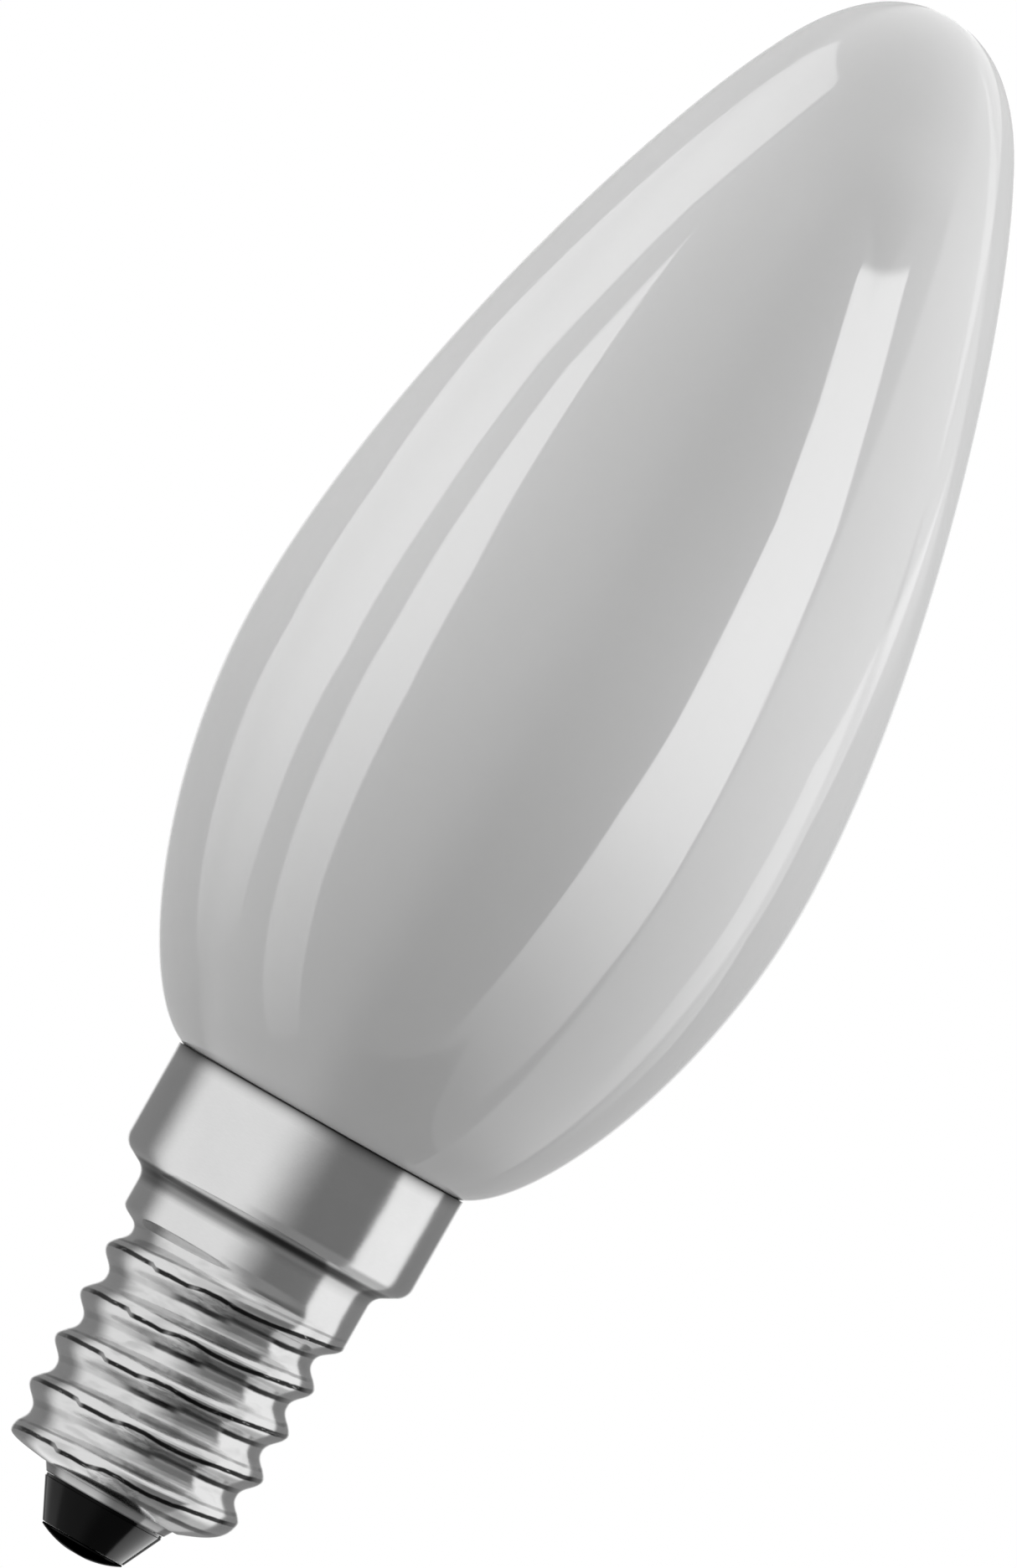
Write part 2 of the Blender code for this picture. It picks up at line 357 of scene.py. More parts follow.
cap = {
    "columns": 144,
    "rowsPerPitch": 36,
    "lipRadius": 0.00372,
    "lipTaper": 0.0003,
    "lipHeight": 0.00048,
    "lipFillet": 0.00015,
    "lipSteps": 6,
    "floorWidth": 0.0003,
    "cornerMiddle": 0.5,  # in pitches above the floor
    "cornerTilt": 0.28,
    "cornerFloorHandle": (0.42, 0.2),
    "cornerWallHandle": 0.6,
    "cornerSteps": 24,
    "pitch": 0.002822,
    "turns": 5,
    "endHeight": 0.0006,
    "crestRadius": 0.00695,
    "depth": 0.00083,
    "sharpness": 1.3,
    "startStep": 0.0004,
    "startBlend": (0.2, 0.65),  # in pitches above the floor
    "bandStep": 0.00029,
    "bandBlend": (1, 0.5),  # in pitches below the thread's top
    "topBlend": 0.35,
    "grooveFade": (0.46, 0.02),  # in turns from the side at -X
    "bandHeight": 0.00185,
    "footFillet": 0.0009,
    "shoulderHeight": 0.00092,
    "shoulderFillet": 0.001,
    "shoulderSteps": 12,
    "grey": 0.66,
    "roughness": 0.14,
    # lines drawn round the cap, clouds and dents: shade, roughness, depth
    "lineShade": 0.05,
    "lineRoughness": 0.06,
    "lineDepth": 0.000004,
    "lineStretch": 0.0012,
    "cloudShade": 0.08,
    "cloudRoughness": 0.08,
    "dentDepth": 0.00004,
}
lipZ = capLow.z
floorZ = lipZ + cap["lipHeight"]
threadTop = floorZ + cap["endHeight"] + cap["turns"] * cap["pitch"]


def threadRadius(angle, z):
    pitch, crest = cap["pitch"], cap["crestRadius"]
    turns = angle / (2 * math.pi) - 0.5
    bandLow, bandHigh = (threadTop - share * pitch for share in cap["bandBlend"])
    startLow, startHigh = (floorZ + share * pitch for share in cap["startBlend"])
    high = crest + cap["bandStep"] * smoothStep(bandLow, bandHigh, z)
    high -= cap["startStep"] * (1 - smoothStep(startLow, startHigh, z))
    fromTop = (z - threadTop) / pitch + 0.5 - turns
    groove = round(fromTop)
    shape = (0.5 + 0.5 * math.cos(2 * math.pi * (fromTop - groove - 0.5))) ** cap["sharpness"]
    fade = smoothStep(*cap["grooveFade"], groove + turns)
    fade *= smoothStep(threadTop, threadTop - cap["topBlend"] * pitch, z)
    root = crest - cap["depth"]
    return high - (high - root) * (1 - shape) * fade


def capOutline(angle):
    start = cap["lipRadius"] + cap["lipTaper"]
    flat = start + cap["floorWidth"]
    lip = roundedOutline(
        ((cap["lipRadius"], lipZ, 0), (start, floorZ, cap["lipFillet"]), (flat, floorZ, 0)),
        cap["lipSteps"])
    top = floorZ + cap["pitch"] * (cap["cornerMiddle"] + cap["cornerTilt"] * math.cos(angle))
    endRadius = threadRadius(angle, top)
    reach = endRadius - flat
    rise = top - floorZ
    outwards, upwards = cap["cornerFloorHandle"]
    corner = curvePoints(
        (flat, floorZ),
        (flat + outwards * reach, floorZ + upwards * rise),
        (endRadius, top - cap["cornerWallHandle"] * rise),
        (endRadius, top),
        cap["cornerSteps"])
    rows = cap["turns"] * cap["rowsPerPitch"]
    heights = [top + (threadTop - top) * row / rows for row in range(1, rows)]
    wall = [(threadRadius(angle, z), z) for z in heights]
    bandRadius = cap["crestRadius"] + cap["bandStep"]
    foot = threadTop + cap["bandHeight"]
    shoulder = foot + cap["shoulderHeight"]
    upper = roundedOutline(
        ((bandRadius, threadTop, 0), (bandRadius, foot, cap["footFillet"]),
         (capHigh.x, shoulder, cap["shoulderFillet"]), (capHigh.x, capHigh.z, 0)),
        cap["shoulderSteps"])
    return lip + corner[1:] + wall + upper


paintedShadeAndScuffs = {  # painted shade on the thread, in the shoulder's crease, under the rim and under the lip, with scuffs and darker streaks on the thread
    # painted shade by height in mm, as shares of the colour kept
    # painted shade in the shoulder's crease, left and right
    "shoulderShadeLeft": ((19.4, 1), (19.6, 0.82), (19.7, 0.65), (19.8, 0.51), (19.9, 0.39), (20.1, 0.33),
                     (20.2, 0.21), (20.3, 0.12), (20.4, 0.09), (20.5, 0.05), (20.6, 0.06), (20.65, 0.2),
                     (20.7, 0.55), (20.78, 1)),
    "shoulderShadeRight": ((19.4, 1), (19.7, 0.9), (19.9, 0.8), (20.1, 0.7), (20.2, 0.48), (20.3, 0.22),
                      (20.4, 0.1), (20.5, 0.04), (20.6, 0.05), (20.65, 0.2), (20.7, 0.47), (20.78, 1)),
    # painted shade under the glass's rim
    "rim": ((26.4, 1), (26.6, 0.93), (26.75, 0.84), (26.85, 0.76), (26.95, 0.64), (27.05, 0.5),
            (27.17, 0.3), (27.22, 0.12), (27.3, 0.12)),
    # painted shade under the lip
    "lip": ((3.15, 0.1), (3.22, 0.35), (3.28, 0.7), (3.5, 0.62), (3.62, 0.5), (3.75, 0.8), (3.9, 1)),
    # lines of painted shade on the thread, from -1 on the cap's left to 1 on its right: place in the
    # pitch, or depth
    "creaseAt": ((-0.95, 0.738), (-0.86, 0.737), (-0.72, 0.714), (-0.6, 0.7), (-0.565, 0.635),
                 (-0.43, 0.63), (-0.29, 0.617), (-0.216, 0.645), (-0.144, 0.678), (0, 0.675),
                 (0.144, 0.636), (0.29, 0.622), (0.43, 0.64), (0.576, 0.668), (0.72, 0.697),
                 (0.95, 0.72)),
    "creaseDepth": ((-0.95, 0.5), (-0.9, 0.9), (-0.64, 0.95), (-0.6, 0.6), (-0.57, 0.6), (-0.53, 0.97),
                    (-0.28, 0.97), (-0.23, 0.7), (-0.18, 0.97), (0.9, 0.97), (0.95, 0.6)),
    "middleFootDepth": ((-1, 0.15), (-0.6, 0.2), (-0.42, 0.5), (-0.3, 0.9), (0.05, 0.97), (0.12, 0.8),
                        (0.2, 0)),
    "rightFootAt": ((0.1, 0.4), (0.45, 0.375), (0.72, 0.35), (0.9, 0.355)),
    "rightFootDepth": ((0.06, 0), (0.2, 0.6), (0.5, 0.65), (0.6, 0.97), (0.85, 0.97), (0.95, 0.4)),
    "hollowDepth": ((-0.2, 0), (0.05, 0.2), (0.2, 0.4), (0.58, 0.4), (0.64, 0)),
    # half width and soft edge of a line, in pitches, after its place where that is fixed
    "crease": (0.028, 0.034),
    "middleFoot": (0.33, 0.03, 0.06),
    "rightFoot": (0.03, 0.05),
    "hollow": (0.09, 0.045, 0.05),
    "ledge": (0.905, 0.01, 0.035),
    "scuff": (0.49, 0.12, 0.08),
    "crestAt": 0.7,  # place in the pitch
    "wander": 0.045,  # in pitches
    "streakStretch": 0.0017,
    # heights between which the marks on the thread come in and go out
    "threadFrom": (0.0037, 0.0042),
    "threadTo": (0.0173, 0.0179),
    # two values of noise, or of how far a face turns to the front, and what they become
    "broken": (0.3, 0.42, 0.7, 1.0),
    "patchy": (0.35, 0.55, 0.75, 1.0),
    "ledgePatches": (0.4, 0.6, 0.15, 0.55),
    # scuffs roughen the thread; their darkening, at front and back only, is painted shade
    "scuffFacing": (0.88, 0.98),
    "scuffStreaks": (0.42, 0.62, 0.0, 0.42),
    "scuffRoughness": 0.2,
    "darkStreakNoise": (0.45, 0.7, 0.0, 0.22),
    "darkStreakFacing": (0.1, 0.8, 0.3, 1.0),
    "rightFrom": (-0.15, 0.1),  # where the shoulder's painted shade passes from left to right
}


def makeNickelMaterial():
    material, maker = newMaterial("nickel plate")
    between, along = maker.between, maker.along
    place = maker.place()
    x, y, z = maker.split(place)
    angle = maker.maths("ARCTAN2", y, x)
    lines = maker.noise(maker.join(angle * cap["lineStretch"], z), 16000.0, 2.0, 0.6)
    cloud = maker.noise(place, 260.0, 3.0, 0.55)
    patches = maker.noise(place, 330.0, 2.0, 0.5)
    dents = maker.noise(place, 420.0, 2.0, 0.5)

    # the place in the thread's pitch, and noise drawn out along the thread
    wander = (maker.noise(place, 700.0, 3.0, 0.6) - 0.5) * paintedShadeAndScuffs["wander"]
    turns = (z - threadTop) / cap["pitch"] - angle / (2 * math.pi) + 0.5 + paintedShadeAndScuffs["crestAt"]
    inTurn = maker.maths("FRACT", turns + wander)
    wound = maker.join(angle * paintedShadeAndScuffs["streakStretch"], turns * cap["pitch"])
    streaks = maker.noise(wound, 4200.0, 3.0, 0.6, 0.6)
    longStreaks = maker.noise(wound, 1500.0, 2.0, 0.5, 0.3)
    threaded = between(z, *paintedShadeAndScuffs["threadFrom"]) * (1 - between(z, *paintedShadeAndScuffs["threadTo"]))

    across = x / (x * x + y * y) ** 0.5
    facing = (y * y) / (x * x + y * y)  # 1 at the front and back, 0 at the sides

    def mark(middle, half, soft):
        return 1 - between(maker.maths("ABSOLUTE", inTurn - middle), half, half + soft)

    def depth(name):
        return along(across, paintedShadeAndScuffs[name])

    broken = between(streaks, *paintedShadeAndScuffs["broken"])
    patchy = between(patches, *paintedShadeAndScuffs["patchy"])
    # painted shade: dark lines under each crest, at the groove's foot, in the hollow and on the ledge of
    # the thread
    crease = mark(along(across, paintedShadeAndScuffs["creaseAt"]), *paintedShadeAndScuffs["crease"]) * depth("creaseDepth") * broken
    middleFoot = mark(*paintedShadeAndScuffs["middleFoot"]) * depth("middleFootDepth") * patchy
    rightFoot = mark(along(across, paintedShadeAndScuffs["rightFootAt"]), *paintedShadeAndScuffs["rightFoot"]) * depth("rightFootDepth")
    hollow = mark(*paintedShadeAndScuffs["hollow"]) * depth("hollowDepth")
    ledge = mark(*paintedShadeAndScuffs["ledge"]) * between(patches, *paintedShadeAndScuffs["ledgePatches"])
    # scuffs roughen the thread; their darkening, at front and back only, is painted shade
    scuffedAndShaded = mark(*paintedShadeAndScuffs["scuff"]) * between(facing, *paintedShadeAndScuffs["scuffFacing"])
    scuffedAndShaded = scuffedAndShaded * between(streaks, *paintedShadeAndScuffs["scuffStreaks"])
    # darker streaks along the thread, strongest at front and back
    darkStreaks = between(longStreaks, *paintedShadeAndScuffs["darkStreakNoise"]) * between(facing, *paintedShadeAndScuffs["darkStreakFacing"])
    kept = 1 - threaded * crease
    for dimming in (middleFoot, rightFoot, ledge, hollow, scuffedAndShaded, darkStreaks):
        kept = kept * (1 - threaded * dimming)

    height = z * 1000
    right = between(across, *paintedShadeAndScuffs["rightFrom"])
    # painted shade in the shoulder's crease, differing left and right
    shoulder = along(height, paintedShadeAndScuffs["shoulderShadeLeft"])
    shoulder = (along(height, paintedShadeAndScuffs["shoulderShadeRight"]) - shoulder) * right + shoulder
    # painted shade under the glass's rim and under the lip
    kept = kept * shoulder * along(height, paintedShadeAndScuffs["rim"]) * along(height, paintedShadeAndScuffs["lip"])

    shade = (lines - 0.5) * cap["lineShade"] + (cloud - 0.5) * cap["cloudShade"] + cap["grey"]
    rough = (lines - 0.5) * cap["lineRoughness"] + (cloud - 0.5) * cap["cloudRoughness"]
    rough = rough + cap["roughness"] + threaded * scuffedAndShaded * paintedShadeAndScuffs["scuffRoughness"]
    fine = maker.bump(lines, cap["lineDepth"], 0.5)
    maker.finishPrincipled({
        "Base Color": maker.grey(shade * kept),
        "Roughness": rough,
        "Metallic": 1.0,
        "Normal": maker.bump(dents, cap["dentDepth"], 0.35, fine),
    })
    return material


def makePressedCap():
    deselectAll()
    columns = cap["columns"]
    outlines = [capOutline(2 * math.pi * column / columns) for column in range(columns)]
    rows = len(outlines[0])
    step = (capHigh.z - lipZ) / (rows - 1)
    bpy.ops.mesh.primitive_circle_add(vertices=columns, radius=capHigh.x, location=(0, 0, 0))
    piece = bpy.context.object
    piece.name = "pressed_cap"
    piece.data.name = "pressed_cap"
    bpy.ops.object.mode_set(mode="EDIT")
    bpy.ops.mesh.select_all(action="SELECT")
    for row in range(1, rows):
        bpy.ops.mesh.extrude_region_move(TRANSFORM_OT_translate={"value": (0, 0, step)})
    bpy.ops.object.mode_set(mode="OBJECT")
    for vertex in piece.data.vertices:  # the plain tube is pressed to the cap's form
        turn = math.atan2(vertex.co.y, vertex.co.x) % (2 * math.pi)
        column = round(turn / (2 * math.pi) * columns) % columns
        radius, height = outlines[column][round(vertex.co.z / step)]
        angle = 2 * math.pi * column / columns
        vertex.co = (radius * math.cos(angle), radius * math.sin(angle), height)
    bpy.ops.object.mode_set(mode="EDIT")
    bpy.ops.mesh.select_all(action="SELECT")
    bpy.ops.mesh.normals_make_consistent(inside=False)
    bpy.ops.object.mode_set(mode="OBJECT")
    sheet = piece.modifiers.new("sheet", "SOLIDIFY")
    sheet.thickness = sheetThickness
    sheet.offset = -1
    bpy.ops.object.modifier_apply(modifier="sheet")
    bpy.ops.object.shade_smooth_by_angle(angle=math.radians(50))
    fitOnLamp(piece, "screw_cap", makeNickelMaterial())
    return piece


# Insulator and contact

insulator = {
    "columns": 96,
    "bore": 0.00105,
    "footRadius": 0.00256,
    "footEdge": 0.00006,
    "headEdge": 0.00004,
    "stepRadius": 0.00362,  # reads as the dark line under the lip
    "stepHeight": 0.00014,
    "neckRadius": 0.00322,
    "flangeAboveFloor": 0.0005,
    "flangeWidth": 0.00125,
    "flangeSlope": math.radians(38),
    "flangeEdge": 0.00025,
    "edgeSteps": 6,
    "grey": 0.001,
    "clouding": 0.002,
    "roughness": (0.06, 0.14),
    "specular": 0.08,
    "dentDepth": 0.00003,
}
contact = {
    "columns": 96,
    "domeHeight": 0.00058,
    "domeSteps": 16,
    "rimHeight": 0.0001,
    "rimEdge": 0.00004,
    "flatRadius": 0.0006,
    "shankRadius": 0.0008,
    "shankEdge": 0.0002,
    "edgeSteps": 5,
    # painted reflection: nearly black, for the dark surroundings the tinned metal mirrors
    "grey": (0.008, 0.016),
    "tint": (0.12, 0.12, 0.12, 1),
    "roughness": (0.2, 0.12),
    "dentDepth": 0.00002,
}


def makeBlackGlassMaterial():
    material, maker = newMaterial("black insulating glass")
    place = maker.place()
    cloud = maker.noise(place, 300.0, 3.0, 0.5)
    dents = maker.noise(place, 500.0, 2.0, 0.5)
    maker.finishPrincipled({
        "Base Color": maker.grey(cloud * insulator["clouding"] + insulator["grey"]),
        "Roughness": maker.between(cloud, 0.3, 0.8, *insulator["roughness"]),
        "Metallic": 0.0,
        "Specular IOR Level": insulator["specular"],
        "Normal": maker.bump(dents, insulator["dentDepth"], 0.4),
    })
    return material


def makeTinnedMaterial():  # painted reflection: nearly black, for the dark surroundings the tinned metal mirrors
    material, maker = newMaterial("tinned contact")
    place = maker.place()
    cloud = maker.noise(place, 700.0, 4.0, 0.6)
    dents = maker.noise(place, 1500.0, 2.0, 0.5)
    maker.finishPrincipled({
        "Base Color": maker.grey(maker.between(cloud, 0.3, 0.7, *contact["grey"])),
        "Roughness": maker.between(cloud, 0.3, 0.7, *contact["roughness"]),
        "Metallic": 1.0,
        "Specular Tint": contact["tint"],
        "Normal": maker.bump(dents, contact["dentDepth"], 0.4),
    })
    return material


def makeInsulator():
    bore, neck, step = insulator["bore"], insulator["neckRadius"], insulator["stepRadius"]
    foot = contact["domeHeight"] + contact["rimHeight"] + seatGap
    head = lipZ - seatGap
    stepFoot = head - insulator["stepHeight"]
    inside = floorZ + insulator["flangeAboveFloor"]
    under = inside + insulator["flangeWidth"] * math.tan(insulator["flangeSlope"])
    top = insulatorHigh.z
    flange = insulatorHigh.x
    outline = roundedOutline(
        ((bore, foot, 0),
         (insulator["footRadius"], foot, insulator["footEdge"]),
         (cap["lipRadius"] - seatGap, stepFoot, insulator["headEdge"]),
         (step, stepFoot, 0), (step, head, 0),
         (neck, head, 0), (neck, inside, 0),
         (flange, under, insulator["flangeEdge"]), (flange, top, insulator["flangeEdge"]),
         (bore, top, 0), (bore, foot, 0)), insulator["edgeSteps"])
    piece = turnedPiece("black_insulator", outline, insulator["columns"])
    fitOnLamp(piece, "insulator", makeBlackGlassMaterial())
    return piece


def makeContact():
    flat, rim, shank = contact["flatRadius"], contactHigh.x, contact["shankRadius"]
    rise = contact["domeHeight"]
    offset = (rim**2 + rise**2 - flat**2) / (2 * rise)
    ball = math.hypot(flat, offset)
    first, final = math.asin(flat / ball), math.asin(rim / ball)
    dome = []
    for step in range(contact["domeSteps"] + 1):
        lean = first + (final - first) * step / contact["domeSteps"]
        dome.append((ball * math.sin(lean), offset - ball * math.cos(lean)))
    head = rise + contact["rimHeight"]
    top = contactHigh.z
    stem = roundedOutline(
        ((rim, rise, 0), (rim, head, contact["rimEdge"]), (shank, head, 0),
         (shank, top, contact["shankEdge"]), (0, top, 0)), contact["edgeSteps"])
    piece = turnedPiece("contact_button", [(0, 0)] + dome + stem[1:], contact["columns"])
    fitOnLamp(piece, "centre_contact", makeTinnedMaterial())


print("making the glass")
opalBulb = makeOpalBulb()
print("making the cap")
pressedCap = makePressedCap()
print("making the insulator and contact")
blackInsulator = makeInsulator()
makeContact()


# Floor and sky: white to the rays that see them directly, and the sky lights the lamp only a little

def seenDirectly(maker):
    paths = maker.add("ShaderNodeLightPath")
    seen = maker.maths("MAXIMUM", paths.out("Is Camera Ray"), paths.out("Is Glossy Ray"))
    return maker.maths("MAXIMUM", seen, paths.out("Is Transmission Ray"))


paleFloor = {
    "height": -0.12,
    "radius": 5.0,
    "fade": (0.14, 0.33),
    "grey": 0.82,
    "grain": 0.03,
    "roughness": 0.7,
}
skyLight = 0.18


def makeFloor():
    deselectAll()
    bpy.ops.mesh.primitive_circle_add(
        vertices=96, radius=paleFloor["radius"], fill_type="NGON", location=(0, 0, paleFloor["height"]))
    floor = bpy.context.object
    floor.name = "pale_floor"
    material, maker = newMaterial("pale floor")
    place = maker.place()
    fade = maker.between(maker.vectorMaths("LENGTH", place, out="Value"), *paleFloor["fade"])
    grain = maker.noise(place, 60.0, 3.0)
    ground = maker.add("ShaderNodeBsdfPrincipled", {}, {
        "Base Color": maker.grey(grain * paleFloor["grain"] + paleFloor["grey"]),
        "Roughness": paleFloor["roughness"]})
    white = maker.add("ShaderNodeEmission", {}, {"Color": (1, 1, 1, 1), "Strength": 1.0})
    shares = {0: fade * seenDirectly(maker), 1: ground.out(0), 2: white.out(0)}
    maker.finish(maker.add("ShaderNodeMixShader", {}, shares))
    floor.data.materials.append(material)
    floor.visible_glossy = False  # reflections show the light tent instead
    floor.visible_diffuse = False
    floor.visible_shadow = False


def makeSky():
    world = bpy.data.worlds.new("studio")
    scene.world = world
    world.use_nodes = True
    world.node_tree.nodes.clear()
    maker = Maker(world.node_tree)
    strength = maker.between(seenDirectly(maker), 0.0, 1.0, skyLight, 1.0)
    sky = maker.add("ShaderNodeBackground", {}, {"Color": (1, 1, 1, 1), "Strength": strength})
    maker.add("ShaderNodeOutputWorld", {}, {"Surface": sky.out(0)})


# Directions around the lamp: turn or azimuth 0 is on the photo's side, 90 on the right

lampCentre = Vector((0, 0, 0.05))
degree = math.degrees(1)


def aimed(azimuth, elevation, distance):
    flat = math.cos(elevation) * distance
    return Vector((math.sin(azimuth) * flat, -math.cos(azimuth) * flat, math.sin(elevation) * distance))


def turnAndTilt(maker, direction):
    x, y, z = maker.split(maker.vectorMaths("NORMALIZE", direction))
    return maker.maths("ARCTAN2", x, 0 - y) * degree, maker.maths("ARCSINE", z) * degree


def mirroringFace(maker, place):  # turn and tilt of a face that mirrors the place to the photo's side
    direction = maker.vectorMaths("NORMALIZE", place)
    return turnAndTilt(maker, maker.vectorMaths("ADD", direction, (0, -1, 0)))


def inRange(maker, value, ends, softness):
    (low, high), (softLow, softHigh) = ends, softness
    inside = maker.between(value, low - softLow, low + softLow)
    return inside * (1 - maker.between(value, high - softHigh, high + softHigh))


# A tent that shows in mirrors alone: its flags and cards lie where faces of these turns and tilts
# mirror them to the photo's side

tent = {
    "radius": 2.0,
    "level": 1.03,
    "centre": (0, 0, 0.015),
    "parts": {  # turns, tilts, softness of both in degrees, level of light
        "front right flag": ((0.3, 36.4), (-90, 24), (13.0, 1.3), 3.0, 0.22),
        "lower half of the flag": ((0.3, 36.4), (-90, -16), (13.0, 1.3), 8.0, 0.31),
        "right card": ((36.4, 60.5), (-90, 90), (1.3, 1.5), 2.0, 1.19),
        "foot of the right card": ((36.4, 60.5), (-90, -32), (1.3, 1.5), 9.0, 0.62),
        "right back flag": ((60.5, 82.0), (-90, 90), (1.5, 3.0), 2.0, 0.28),
        "left back flag": ((-82.0, -51.5), (-90, 90), (3.0, 8.0), 2.0, 0.28),
    },
}


def tentLevel(maker, place):
    turn, tilt = mirroringFace(maker, place)
    level = tent["level"]
    for turns, tilts, softTurns, softTilt, light in tent["parts"].values():
        cover = inRange(maker, turn, turns, softTurns)
        cover = cover * inRange(maker, tilt, tilts, (softTilt, softTilt))
        level = cover * (light - level) + level
    return level


def makeTent():
    deselectAll()
    bpy.ops.mesh.primitive_uv_sphere_add(
        segments=64, ring_count=32, radius=tent["radius"], location=tent["centre"])
    wall = bpy.context.object
    wall.name = "light_tent"
    material, maker = newMaterial("light tent")
    glow = maker.grey(tentLevel(maker, maker.place()))
    maker.finish(maker.add("ShaderNodeEmission", {}, {"Color": glow, "Strength": 1.0}))
    material.cycles.emission_sampling = "NONE"
    wall.data.materials.append(material)
    wall.visible_camera = False
    wall.visible_diffuse = False
    wall.visible_shadow = False
    wall.visible_transmission = False
    wall.visible_volume_scatter = False


# Lamps: a shaped one shows only as one piece mirrors it

def makeLamp(name, azimuth, elevation, distance, width, height, radiance=1.0, aimedAt=lampCentre):
    light = bpy.data.lights.new(name, "AREA")
    light.shape = "RECTANGLE"
    light.size = width
    light.size_y = height
    light.energy = radiance * math.pi * width * height
    lamp = bpy.data.objects.new(name, light)
    scene.collection.objects.link(lamp)
    lamp.location = lampCentre + aimed(math.radians(azimuth), math.radians(elevation), distance)
    lamp.rotation_euler = (aimedAt - lamp.location).to_track_quat("-Z", "Y").to_euler()
    lamp.visible_camera = False
    return lamp


def onlyFor(name, piece):
    group = bpy.data.collections.new(name)
    group.objects.link(piece)
    return group


glassOnly = onlyFor("glass only", opalBulb)
insulatorOnly = onlyFor("insulator only", blackInsulator)
capOnly = onlyFor("cap only", pressedCap)


def shapeLamp(lamp, receivers, centre, pattern):  # pattern: the level at a place around the centre
    lamp.visible_diffuse = False
    lamp.light_linking.receiver_collection = receivers
    lamp.data.use_nodes = True
    lamp.data.node_tree.nodes.clear()
    maker = Maker(lamp.data.node_tree)
    spot = maker.add("ShaderNodeNewGeometry").out("Position")
    place = maker.vectorMaths("SUBTRACT", spot, centre)
    glow = maker.add("ShaderNodeEmission", {}, {"Color": (1, 1, 1, 1), "Strength": pattern(maker, place)})
    maker.add("ShaderNodeOutputLight", {}, {"Surface": glow.out(0)})


# The bright bands on the glass: edges as (elevation, azimuth), top as (azimuth, elevation),
# fade as (elevation, share), levels at the left and right edge

strips = {
    "strip_left": {
        "left": ((-40, -122), (-20, -122), (-8, -121), (0, -119), (8, -123), (12, -131), (25, -120),
                 (35, -115), (47, -110)),
        "right": ((-40, -94), (-20, -86), (0, -82), (12, -85), (20, -89), (30, -82), (36, -75),
                  (41, -71), (47, -68)),
        "top": ((-115, 43), (-70, 47)), "soft": 0.8, "levels": (1.05, 1.65),
        "fade": ((-36, 0), (-28, 0.3), (-20, 0.62), (-10, 0.92), (0, 1.04), (10, 1))},
    "strip_left_front": {
        "left": ((-60, -76), (-30, -73), (-10, -70), (5, -70), (22, -75), (30, -69)),
        "right": ((-60, -48), (-30, -52), (-10, -51), (0, -51), (12, -54), (20, -60), (30, -68.5)),
        "top": ((-75, 31), (-60, 31)), "soft": 0.8, "levels": (2.0, 2.25),
        "fade": ((-60, 0.1), (-43, 0.3), (-29, 0.5), (-16, 0.72), (0, 0.9), (12, 1))},
    "strip_front_right": {
        "left": ((-48, 35), (-20, 37), (0, 39), (10, 42), (24, 44), (30, 40), (38, 31)),
        "right": ((-48, 78), (-20, 72), (0, 71), (22, 73), (34, 64), (38, 62)),
        "top": ((32, 38.7), (60, 36.5)), "soft": 0.5, "levels": (3.4, 2.75),
        "fade": ((-48, 0), (-30, 0.24), (-16, 0.54), (0, 0.86), (9, 0.97), (16, 1))},
    "strip_right_low": {
        "left": ((-24, 116), (-12, 109.5), (0, 108), (8, 110), (13, 126)),
        "right": ((-24, 138), (-12, 133), (-4, 125), (4, 125), (8, 130), (13, 140)),
        "top": ((106, 11), (145, 13)), "soft": 0.8, "levels": (0.85, 0.65),
        "fade": ((-24, 0), (-16, 0.35), (-5, 1))},
    "strip_right_high": {
        "left": ((9, 128), (20, 122), (33, 118), (40, 121), (46, 130), (49, 136)),
        "right": ((9, 146), (20, 133), (28, 128), (37, 126), (43, 133), (49, 146)),
        "top": ((118, 48), (146, 48)), "soft": 1.5, "levels": (0.55, 0.4),
        "fade": ((7, 0), (11, 1))},
}
stripCard = {  # a little larger than the strip that shows on it, rooms in degrees
    "distance": 1.0,
    "sideRoom": 4,
    "footRoom": 2,
    "topRoom": 4,
    "widening": 1.05,
    "heightening": 1.25,
    "reach": (-60, 60),  # lowest and highest elevation of the edges and fades
}


def stripEdge(maker, elevation, points):
    stops = [(up, side / 360 + 0.5) for up, side in points]
    return (maker.along(elevation, stops, stripCard["reach"]) - 0.5) * 360


def makeStrip(name, strip):
    distance = stripCard["distance"]
    sides = [side for up, side in strip["left"] + strip["right"]]
    spread = max(sides) - min(sides) + stripCard["sideRoom"]
    foot = strip["fade"][0][0] - stripCard["footRoom"]
    top = max(up for side, up in strip["top"]) + stripCard["topRoom"]
    width = 2 * stripCard["widening"] * distance * math.tan(math.radians(spread) / 2)
    low = distance * math.tan(math.radians(foot))
    high = distance * math.tan(math.radians(top)) * stripCard["heightening"]
    lamp = makeLamp(name, (min(sides) + max(sides)) / 2, 0, distance, width, high - low)
    lamp.location.z += (low + high) / 2

    def pattern(maker, place):
        azimuth, elevation = turnAndTilt(maker, place)
        soft = strip["soft"]
        left = stripEdge(maker, elevation, strip["left"])
        right = stripEdge(maker, elevation, strip["right"])
        inside = maker.between(azimuth - left, -soft, soft)
        inside = inside * maker.between(right - azimuth, -soft, soft)
        (firstSide, firstUp), (lastSide, lastUp) = strip["top"]
        slope = (lastUp - firstUp) / (lastSide - firstSide)
        under = (azimuth - firstSide) * slope + firstUp - elevation
        leftLevel, rightLevel = strip["levels"]
        level = (azimuth - left) / (right - left) * (rightLevel - leftLevel) + leftLevel
        faded = maker.along(elevation, strip["fade"], stripCard["reach"])
        return inside * maker.between(under, -soft, soft) * faded * level

    shapeLamp(lamp, glassOnly, lampCentre, pattern)


# Gives the glass back the light that the tent's dark parts take from it

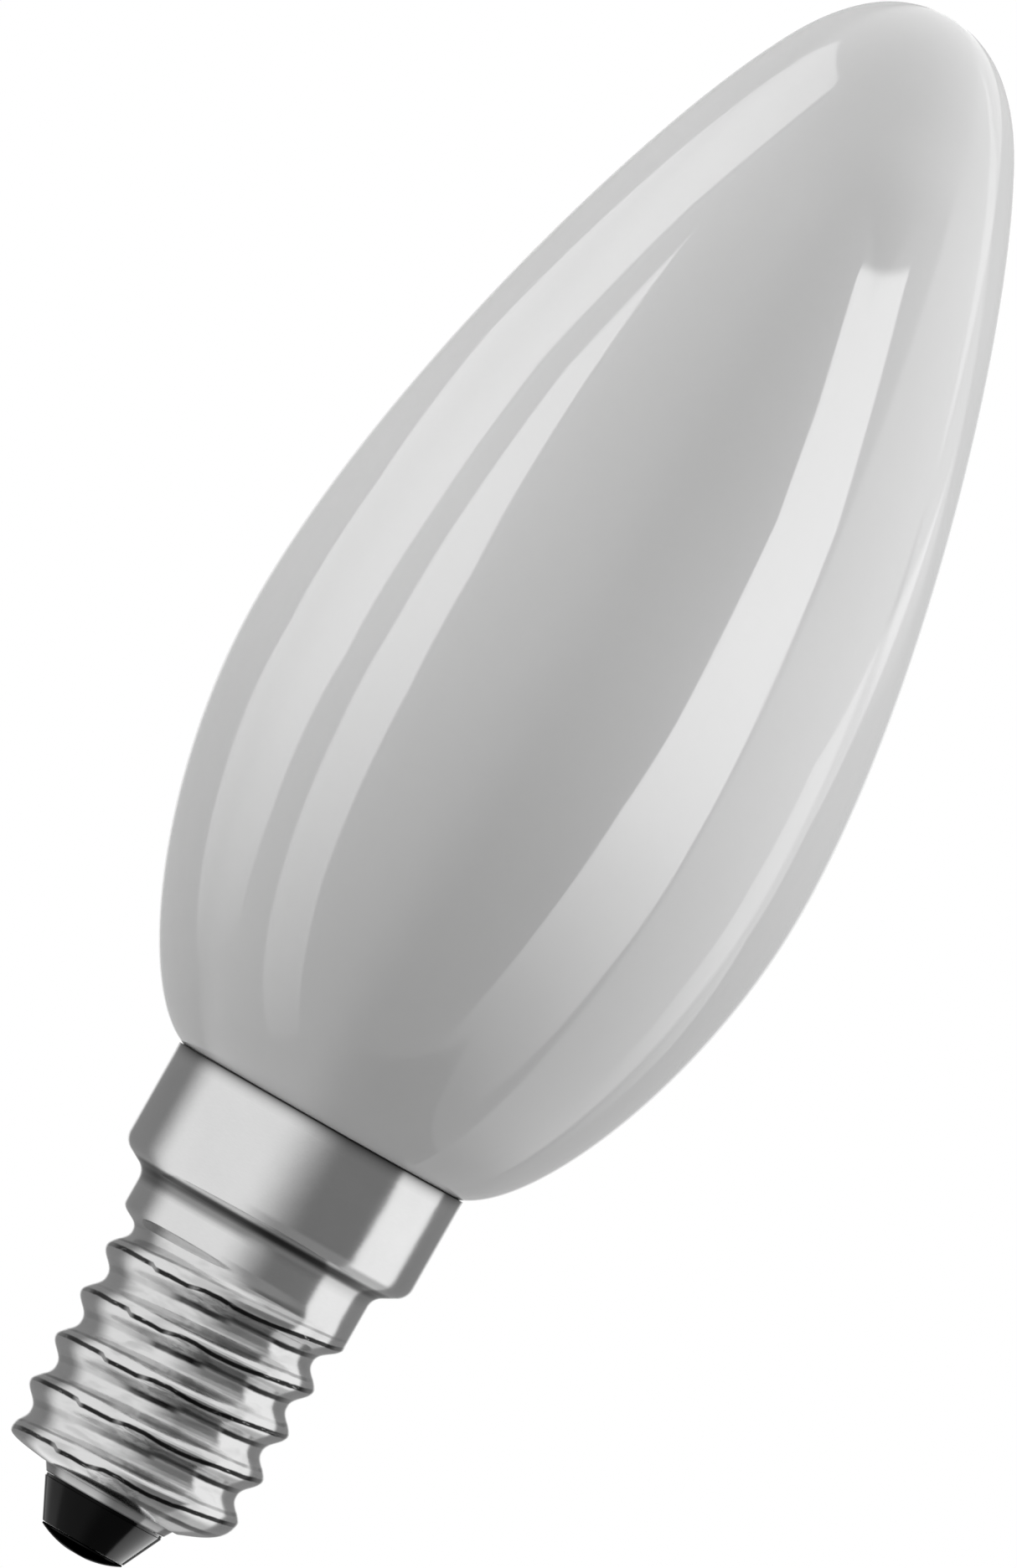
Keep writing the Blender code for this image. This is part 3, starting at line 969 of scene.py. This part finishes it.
glassFill = {
    "sides": {"fill_front": 0, "fill_right": 90, "fill_back": 180, "fill_left": -90},
    "distance": 1.1,
    "width": 2.2,
    "height": 3.4,
    "lowered": 0.6,
    "centre": (0, 0, 0.0285),
    "level": 0.58,
}


def makeGlassFill():
    def pattern(maker, place):
        return maker.maths("MAXIMUM", glassFill["level"] - tentLevel(maker, place), 0.0)

    for name, azimuth in glassFill["sides"].items():
        lamp = makeLamp(name, azimuth, 0, glassFill["distance"], glassFill["width"], glassFill["height"])
        lamp.location.z -= glassFill["lowered"]
        shapeLamp(lamp, glassOnly, glassFill["centre"], pattern)


# What each band lights, the lamp's azimuth and elevation, the turns and tilts that mirror it,
# the softness of the turns, and the level of light

bands = {
    "band_right": (insulatorOnly, 108, -25, (34, 76), (-80, 80), (1.5, 6.0), 5.0),
    "band_left": (insulatorOnly, -112, -25, (-76, -42), (-80, 80), (6.0, 3.0), 0.7),
    "thread_light": (capOnly, 36, 30, (4, 35.5), (6, 25), (6.0, 1.3), 0.5),
}
bandCard = {
    "distance": 1.0,
    "width": 1.6,
    "height": 1.4,
    "centre": (0, 0, 0.002),
    "softTilts": (4.0, 3.0),
}


def makeBand(name, receivers, azimuth, elevation, turns, tilts, softTurns, level):
    def pattern(maker, place):
        turn, tilt = mirroringFace(maker, place)
        lit = inRange(maker, turn, turns, softTurns) * inRange(maker, tilt, tilts, bandCard["softTilts"])
        return lit * level

    lamp = makeLamp(
        name, azimuth, elevation, bandCard["distance"], bandCard["width"], bandCard["height"],
        aimedAt=Vector((0, 0, 0)))
    shapeLamp(lamp, receivers, bandCard["centre"], pattern)


softLamps = {  # azimuth, elevation, radiance
    "soft_left": (-92, 20, 4.3),
    "soft_right": (95, 32, 6.0),
    "soft_top": (0, 84, 1.2),
    "soft_front_top": (-20, 50, 1.9),
    "soft_low": (10, -52, 2.8),
    "soft_back": (180, 15, 2.2),
    "soft_left_low": (-115, -38, 0.7),
}
softBox = {"distance": 0.9, "size": 0.6}


def makeSoftLamp(name, azimuth, elevation, radiance):
    size = softBox["size"]
    lamp = makeLamp(name, azimuth, elevation, softBox["distance"], size, size, radiance)
    lamp.visible_glossy = False


viewpoint = {
    "roll": math.radians(29.55),
    "aimX": -0.00022,
    "aimZ": 0.04846,
    "frameHeight": 0.08607,
    "distance": 2.5,
    "sensor": 36,
    "farthest": 50,
}


def makeCamera():
    distance = viewpoint["distance"]
    data = bpy.data.cameras.new("photo view")
    data.sensor_width = viewpoint["sensor"]
    data.lens = viewpoint["sensor"] * distance / viewpoint["frameHeight"]
    data.clip_end = viewpoint["farthest"]
    camera = bpy.data.objects.new("photo view", data)
    scene.collection.objects.link(camera)
    camera.location = (viewpoint["aimX"], -distance, viewpoint["aimZ"])
    camera.rotation_euler = (math.radians(90), -viewpoint["roll"], 0)
    scene.camera = camera


print("setting the floor and tent")
makeFloor()
makeTent()
print("hanging the lamps")
for name, strip in strips.items():
    makeStrip(name, strip)
makeGlassFill()
for name, settings in bands.items():
    makeBand(name, *settings)
for name, settings in softLamps.items():
    makeSoftLamp(name, *settings)
print("setting the sky and camera")
makeSky()
makeCamera()
